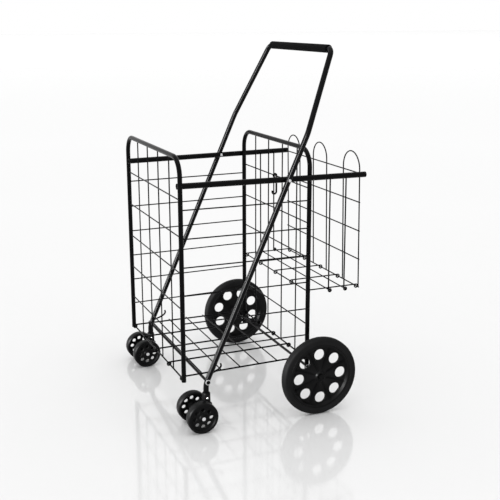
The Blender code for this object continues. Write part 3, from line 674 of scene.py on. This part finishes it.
def build_rear_face():
    bm = bmesh.new()
    rows = [(RAIL_Z, rail_x(FACE_Y) - RAIL_RADIUS + 0.004)]
    rows += [(z, 0.2445) for z in REAR_FACE_ROWS_Z]
    for z, reach in rows:
        y = FACE_Y + lean(z)
        add_rod(bm, [(-reach, y, z), (reach, y, z)], WIRE)
    for middle, half in HAIRPINS:
        spring_z = HAIRPIN_TOP_Z - half
        outline = [(middle + half, REAR_FLOOR_Z - 0.0012)]
        for i in range(25):
            angle = radians(180) * i / 24
            outline.append((middle + half * cos(angle), spring_z + half * sin(angle)))
        outline.append((middle - half, REAR_FLOOR_Z - 0.0012))
        add_rod(bm, [(x, FACE_Y + lean(z) + 0.0026, z) for x, z in outline], WIRE)
        for side in (-1, 1):
            for z, _ in rows:
                weld = (middle + side * half, FACE_Y + lean(z) + 0.0013, z)
                add_weld(bm, weld, (0.0019, 0.0020, 0.0019))
    piece("rear_basket_grille", "basket_face", PAINT, bm, ["rear_basket_face"])


def build_latch():
    """A wire hook: a loop round the rear panel's top row, a straight shank and a turned-up tip."""
    wire, loop, bend = 0.0028, EYELET_RADIUS, 0.0068
    y, z = REAR_Y + REAR_ROW_OFFSET, PANEL_ROW_TOP_Z
    points = []
    for i in range(16):
        angle = radians(-100) + i * radians(280) / 15
        points.append(Vector((LATCH_X, y - loop * cos(angle), z + loop * sin(angle))))
    bend_y, bend_z = y + loop - bend, z - LATCH_LENGTH + bend
    for i in range(14):
        angle = radians(215) * i / 13
        points.append(Vector((LATCH_X, bend_y + bend * cos(angle), bend_z - bend * sin(angle))))
    bm = bmesh.new()
    add_rod(bm, points, wire, 16, tip=0.5)
    piece("latch", "latch", PAINT, bm, ["latch_hook"])


# Handle --------------------------------------------------------------------------------------


def handle_path():
    foot_y = handle_y(HANDLE_FOOT_BEND_Z)
    legs = []
    for side in (1, -1):
        legs.append([
            (side * HANDLE_X, foot_y, HANDLE_FOOT_Z),
            (side * HANDLE_X, foot_y, HANDLE_FOOT_BEND_Z),
            (side * HANDLE_X, handle_y(HANDLE_WAIST_Z), HANDLE_WAIST_Z),
            (side * HANDLE_TOP_X, handle_y(GRIP_Z), GRIP_Z),
        ])
    foot_bend, waist_bend, corner = 0.060, 0.080, 0.024
    radii = [foot_bend, waist_bend, corner, corner, waist_bend, foot_bend]
    return rounded(legs[0] + legs[1][::-1], radii, 14)


def build_handle():
    bm = bmesh.new()
    add_tube(bm, handle_path(), HANDLE_RADIUS, TUBE_WALL, 32)
    piece("push_handle", "handle", PAINT, bm, ["handle_tube"])
    build_grip()
    build_cross_rod()
    for name, side in SIDES.items():
        build_lock_hook(name, side)


def build_grip():
    half, outer, bore = 0.189, 0.0115, HANDLE_RADIUS + GAP
    profile = [(-half, bore), (-half, outer), (half, outer), (half, bore)]
    bm = bmesh.new()
    add_turned(bm, soften(profile, 0.0030, 5), (0, handle_y(GRIP_Z), GRIP_Z), X_AXIS, 48)
    grip = piece("foam_sleeve", "handle", FOAM, bm, ["foam_grip"])


def build_cross_rod():
    y, z = handle_y(CROSS_ROD_Z), CROSS_ROD_Z
    bm = bmesh.new()
    face = HANDLE_X + HANDLE_RADIUS + GAP
    reach = face + 0.0034
    add_rod(bm, [(-reach, y, z), (reach, y, z)], 0.004, 24, tip=0.3)
    head = [(face + 0.0020, 0), (face + 0.0020, 0.0054), (face + 0.0034, 0.0054), (face + 0.0040, 0)]
    for side in (1, -1):
        add_turned(bm, soften(head, 0.0006), (0, y, z), (side, 0, 0), 32)
    piece("cross_bar", "handle", PAINT, bm, ["cross_rod"])
    for name, side in SIDES.items():
        profile = [(face, 0.0043), (face, 0.0079), (face + 0.0032, 0.0077), (face + 0.0032, 0.0057)]
        profile += [(face + 0.0017, 0.0057), (face + 0.0017, 0.0043)]
        bm = bmesh.new()
        add_turned(bm, soften(profile, 0.0008), (0, y, z), (side, 0, 0), 40)
        piece("rod_nut_" + name, "handle", ZINC, bm)


def build_lock_hook(name, side):
    x = side * (HANDLE_X - HANDLE_RADIUS - 0.0024)
    z = LOCK_HOOK_Z
    outline = [(0.0, 0.0), (0.0200, 0.0060), (0.0345, 0.0130), (0.0400, 0.0205), (0.0375, 0.0280)]
    corners = [(x, handle_y(z) + along, z + up) for along, up in outline]
    bm = bmesh.new()
    add_rod(bm, rounded(corners, [0.018, 0.014, 0.007], 8), 0.0026, 16, tip=0.5)
    add_weld(bm, (x + side * 0.002, handle_y(z) - 0.0005, z), (0.0030, 0.0052, 0.0040))
    piece("hook_" + name, "handle", PAINT, bm, ["lock_hook_" + name])


# Wheels --------------------------------------------------------------------------------------


def build_rear_wheel(name, side, phase):
    centre = Vector((side * WHEEL_X, REAR_Y, WHEEL_RADIUS))
    half = WHEEL_HALF_WIDTH
    profile = [
        (half + 0.0012, 0.0044),
        (half + 0.0012, 0.0135),
        (half - 0.0030, 0.0165),
        (half - 0.0065, 0.0240),
        (half - 0.0085, 0.0450),
        (half - 0.0085, 0.0835),
        (half - 0.0010, 0.0875),
        (half - 0.0010, 0.0948),
        (-half + 0.0010, 0.0948),
        (-half + 0.0010, 0.0885),
        (half - 0.0118, 0.0850),
        (half - 0.0118, 0.0220),
        (half - 0.0118, 0.0160),
        (-half - 0.0038, 0.0145),
        (-half - 0.0038, 0.0044),
    ]
    bm = bmesh.new()
    add_turned(bm, soften(profile, 0.0014), centre, (side, 0, 0), 112)
    disc = piece("wheel_" + name, "rear_wheel_" + name, PLASTIC, bm, ["wheel_disc_" + name])
    angles = [radians(phase) + 2 * pi * i / WHEEL_HOLES for i in range(WHEEL_HOLES)]
    cutter = bmesh.new()
    for angle in angles:
        add_cutter(cutter, centre + WHEEL_HOLE_CIRCLE * spoke(angle), WHEEL_HOLE_RADIUS, 40)
    drill(disc, cutter)
    back, front, inner, outer = half - 0.0128, half - 0.0070, 0.0163, 0.0183
    collar = soften([(back, inner), (front, inner), (front, outer), (back, outer)], 0.0006)
    bm = bmesh.new()
    for angle in angles:
        add_turned(bm, collar, centre + WHEEL_HOLE_CIRCLE * spoke(angle), (side, 0, 0), 40)
        middle = angle + pi / WHEEL_HOLES
        for spread in (-0.05, 0.05):
            add_rib(bm, centre, side, middle + spread, 0.018, middle + spread * 0.35, 0.086)
    piece("wheel_ribs_" + name, "rear_wheel_" + name, PLASTIC, bm)
    build_tyre(name, side, centre)
    build_axle_end(name, side)


def add_rib(bm, centre, side, start_angle, start_radius, end_angle, end_radius):
    """A low radial rib on the outer face of the disc, lower and narrower towards its crest."""
    start = spoke(start_angle) * start_radius
    end = spoke(end_angle) * end_radius
    across = (end - start).normalized().cross(X_AXIS) * 0.0008
    low = WHEEL_HALF_WIDTH - 0.0120
    start_high, end_high = WHEEL_HALF_WIDTH - 0.0035, WHEEL_HALF_WIDTH - 0.0062
    corners = []
    for point, high in ((start, start_high), (end, end_high)):
        for x, shift in ((low, -1.3), (low, 1.3), (high, 0.8), (high, -0.8)):
            corners.append(bm.verts.new(centre + point + across * shift + X_AXIS * side * x))
    skin(bm, corners[:4], corners[4:])
    bm.faces.new(corners[:4])
    bm.faces.new(corners[4:])


def build_tyre(name, side, centre):
    half = WHEEL_HALF_WIDTH
    outside = [
        (half - 0.0012, 0.0950),
        (half - 0.0002, 0.0985),
        (half, 0.1015),
        (half - 0.0006, 0.1035),
        (half - 0.0002, 0.1055),
        (half - 0.0012, 0.1095),
        (half - 0.0040, 0.1130),
        (half - 0.0075, 0.1142),
        (half - 0.0082, 0.1136),
        (half - 0.0094, 0.1136),
        (half - 0.0101, 0.1144),
    ]
    profile = outside + [(0.0, WHEEL_RADIUS)] + [(-x, radius) for x, radius in outside[::-1]]
    bm = bmesh.new()
    add_turned(bm, profile, centre, (side, 0, 0), 128)
    piece("tread_" + name, "rear_wheel_" + name, RUBBER, bm, ["tyre_" + name])


def build_axle_end(name, side):
    face = WHEEL_X + WHEEL_HALF_WIDTH + 0.0018
    profile = [
        (AXLE_HALF + GAP, 0),
        (AXLE_HALF + GAP, 0.0044),
        (face, 0.0044),
        (face, 0.0097),
        (AXLE_HALF - 0.0006, 0.0090),
        (AXLE_HALF + 0.0018, 0.0056),
        (AXLE_HALF + 0.0010, 0.0040),
        (AXLE_HALF + 0.0010, 0),
    ]
    bm = bmesh.new()
    add_turned(bm, soften(profile, 0.0008), (0, REAR_Y, WHEEL_RADIUS), (side, 0, 0), 36)
    piece("hub_cap_" + name, "rear_panel", PLASTIC, bm, ["axle_cap_" + name])


def build_axle():
    ends = [(-AXLE_HALF, REAR_Y, WHEEL_RADIUS), (AXLE_HALF, REAR_Y, WHEEL_RADIUS)]
    bm = bmesh.new()
    add_rod(bm, ends, 0.0040, 24, tip=0.2)
    piece("axle_bar", "rear_panel", PAINT, bm, ["rear_axle"])
    for name, side in SIDES.items():
        start = REAR_POST_X + POST_RADIUS + 0.0004
        end = start + 0.0016
        profile = [(start, 0.0042), (start, 0.0075), (end, 0.0075), (end, 0.0042)]
        bm = bmesh.new()
        add_turned(bm, soften(profile, 0.0004), (0, REAR_Y, WHEEL_RADIUS), (side, 0, 0), 28)
        piece("washer_" + name, "rear_panel", ZINC, bm)


def build_caster(name, side):
    x, y = side * HANDLE_X, handle_y(HANDLE_FOOT_BEND_Z)
    body = "caster_" + name
    profile = [
        (0.0705, 0.0044),
        (0.0705, 0.0120),
        (0.0940, 0.0117),
        (0.0970, 0.0106),
        (0.0970, 0.0080),
        (0.0765, 0.0080),
        (0.0765, 0.0044),
    ]
    bm = bmesh.new()
    add_turned(bm, soften(profile, 0.0010), (x, y, 0), (0, 0, 1), 40)
    piece("socket_" + name, "handle", PLASTIC, bm, ["caster_socket_" + name])
    bm = bmesh.new()
    for way in (1, -1):
        add_turned(bm, dome(0.0113, 0.0030, 0.0016), (x, y, 0.0835), (way, 0, 0), 20)
    piece("socket_rivet_" + name, "handle", ZINC, bm)

    bm = bmesh.new()
    pin = [(0.052, 0), (0.052, 0.004), (0.0768, 0.004), (0.0768, 0.0058), (0.0803, 0.0058), (0.0803, 0)]
    add_turned(bm, soften(pin, 0.0005), (x, y, 0), (0, 0, 1), 24)
    piece("swivel_" + name, body, ZINC, bm, ["caster_pin_" + name])

    build_fork(name, x, y, body)
    axle = Vector((x, y - CASTER_TRAIL, CASTER_RADIUS))
    reach = 0.0545
    bm = bmesh.new()
    add_rod(bm, [axle - X_AXIS * reach, axle + X_AXIS * reach], 0.0030, 20)
    for way in (1, -1):
        add_turned(bm, dome(reach, 0.0054, 0.0022), axle, (way, 0, 0), 28)
    piece("axle_bolt_" + name, body, ZINC, bm, ["caster_axle_" + name])
    for which, way in (("outer", side), ("inner", -side)):
        build_caster_wheel(f"{name}_{which}", axle + X_AXIS * way * CASTER_WHEEL_X, way)


def dome(face, radius, height):
    """The profile of a button head that sits on a face square to its axis."""
    crown = quarter_round(face + 0.25 * height, radius, 0.75 * height, 7)
    return [(face, 0), (face, radius)] + crown


def build_fork(name, x, y, body):
    """A solid hood over the axle, its back an arc of the wheels' own circle."""
    neck, top_z, back, nose = 0.0125, 0.0700, 0.043, 0.020
    outline = [(neck, top_z)]
    for i in range(9):
        angle = radians(24 - 42 * i / 8)
        outline.append((back * cos(angle) - CASTER_TRAIL, CASTER_RADIUS + back * sin(angle)))
    for i in range(15):
        angle = radians(-50 - 190 * i / 14)
        outline.append((nose * cos(angle) - CASTER_TRAIL, CASTER_RADIUS + nose * sin(angle)))
    outline.append((-neck, top_z))
    bm = bmesh.new()
    add_block(bm, outline, (x, y, 0), 0.0148)
    piece("fork_" + name, body, PLASTIC, bm, ["caster_fork_" + name], bevel=0.0022)


def build_caster_wheel(name, centre, way):
    half = 0.012
    profile = [
        (half, 0.0033),
        (half, 0.0100),
        (half - 0.0040, 0.0122),
        (half - 0.0040, 0.0340),
        (half, 0.0360),
        (half, 0.0408),
        (half - 0.0028, CASTER_RADIUS),
        (-half + 0.0028, CASTER_RADIUS),
        (-half, 0.0408),
        (-half, 0.0360),
        (half - 0.0100, 0.0340),
        (half - 0.0100, 0.0120),
        (-0.0265, 0.0092),
        (-0.0265, 0.0033),
    ]
    bm = bmesh.new()
    add_turned(bm, soften(profile, 0.0011), centre, (way, 0, 0), 88)
    wheel = piece("roller_" + name, "caster_wheel_" + name, PLASTIC, bm, ["caster_wheel_" + name])
    cutter = bmesh.new()
    for i in range(CASTER_HOLES):
        angle = 2 * pi * i / CASTER_HOLES
        add_cutter(cutter, centre + CASTER_HOLE_CIRCLE * spoke(angle), CASTER_HOLE_RADIUS, 24)
    drill(wheel, cutter)


# Studio --------------------------------------------------------------------------------------


def add_sun(name, direction, spread, irradiance, lit=None):
    """A far soft light. spread is the angle that it fills, and lit a collection that it is kept to."""
    light = bpy.data.lights.new(name, "SUN")
    light.angle = radians(spread)
    light.energy = irradiance
    lamp = bpy.data.objects.new(name, light)
    lamp.rotation_euler = (-Vector(direction)).to_track_quat("-Z", "Y").to_euler()
    bpy.context.scene.collection.objects.link(lamp)
    if lit:
        lamp.light_linking.receiver_collection = lit


def build_floor():
    mesh = bpy.data.meshes.new("studio_floor")
    bm = bmesh.new()
    bmesh.ops.create_grid(bm, x_segments=1, y_segments=1, size=60)
    bm.to_mesh(mesh)
    bm.free()
    floor = bpy.data.objects.new("studio_floor", mesh)
    floor.location.z = -0.0006
    material, _, shader = new_material("studio_floor", (0.80, 0.80, 0.80), 0.085)
    shader.inputs["IOR"].default_value = 1.8
    mesh.materials.append(material)
    bpy.context.scene.collection.objects.link(floor)


def build_studio():
    """A glossy white floor under an even white sky. The two low suns reach only the handle and wheels."""
    streaked = bpy.data.collections.new("streaked")
    for thing in bpy.context.scene.objects:
        if thing.name.startswith(("push_handle", "tread", "wheel", "roller", "fork", "socket")):
            streaked.objects.link(thing)
    build_floor()
    world = bpy.data.worlds.new("studio")
    world.use_nodes = True
    world.node_tree.nodes["Background"].inputs["Color"].default_value = (1, 1, 1, 1)
    world.node_tree.nodes["Background"].inputs["Strength"].default_value = 1.0
    bpy.context.scene.world = world
    bpy.context.scene.view_settings.view_transform = "Standard"
    add_sun("overhead", (0.1, -0.1, 1), 50, 0.6)
    add_sun("streak_near", (0.42, -0.855, 0.30), 22, 9.0, streaked)
    add_sun("streak_far", (-0.50, -0.80, 0.17), 16, 3.0, streaked)


def build_camera():
    camera = bpy.data.objects.new("camera", bpy.data.cameras.new("camera"))
    camera.data.sensor_width = 36
    camera.data.lens = 65.05
    place = Vector((2.4592, -1.1147 + REAR_Y, 1.1071))
    right = Vector((0.38817, 0.92159, -0.00115))
    up = Vector((-0.23044, 0.09827, 0.96812))
    back = Vector((0.89231, -0.37553, 0.25051))
    turn = Matrix((right, up, back)).transposed().to_4x4()
    camera.matrix_world = Matrix.Translation(place) @ turn
    bpy.context.scene.collection.objects.link(camera)
    bpy.context.scene.camera = camera


build_panel("rear", "rear_panel", REAR_POST_X, REAR_Y, REAR_POST_FOOT_Z)
build_panel("front", "front_panel", FRONT_POST_X, FRONT_Y, FRONT_POST_FOOT_Z)
build_plugs()
build_rails()
build_rivets()
build_side_wires()
build_main_floor()
build_rear_floor()
build_rear_links()
build_rear_face()
build_latch()
build_handle()
build_axle()
build_rear_wheel("left", 1, 2)
build_rear_wheel("right", -1, -18)
build_caster("left", 1)
build_caster("right", -1)
build_studio()
build_camera()
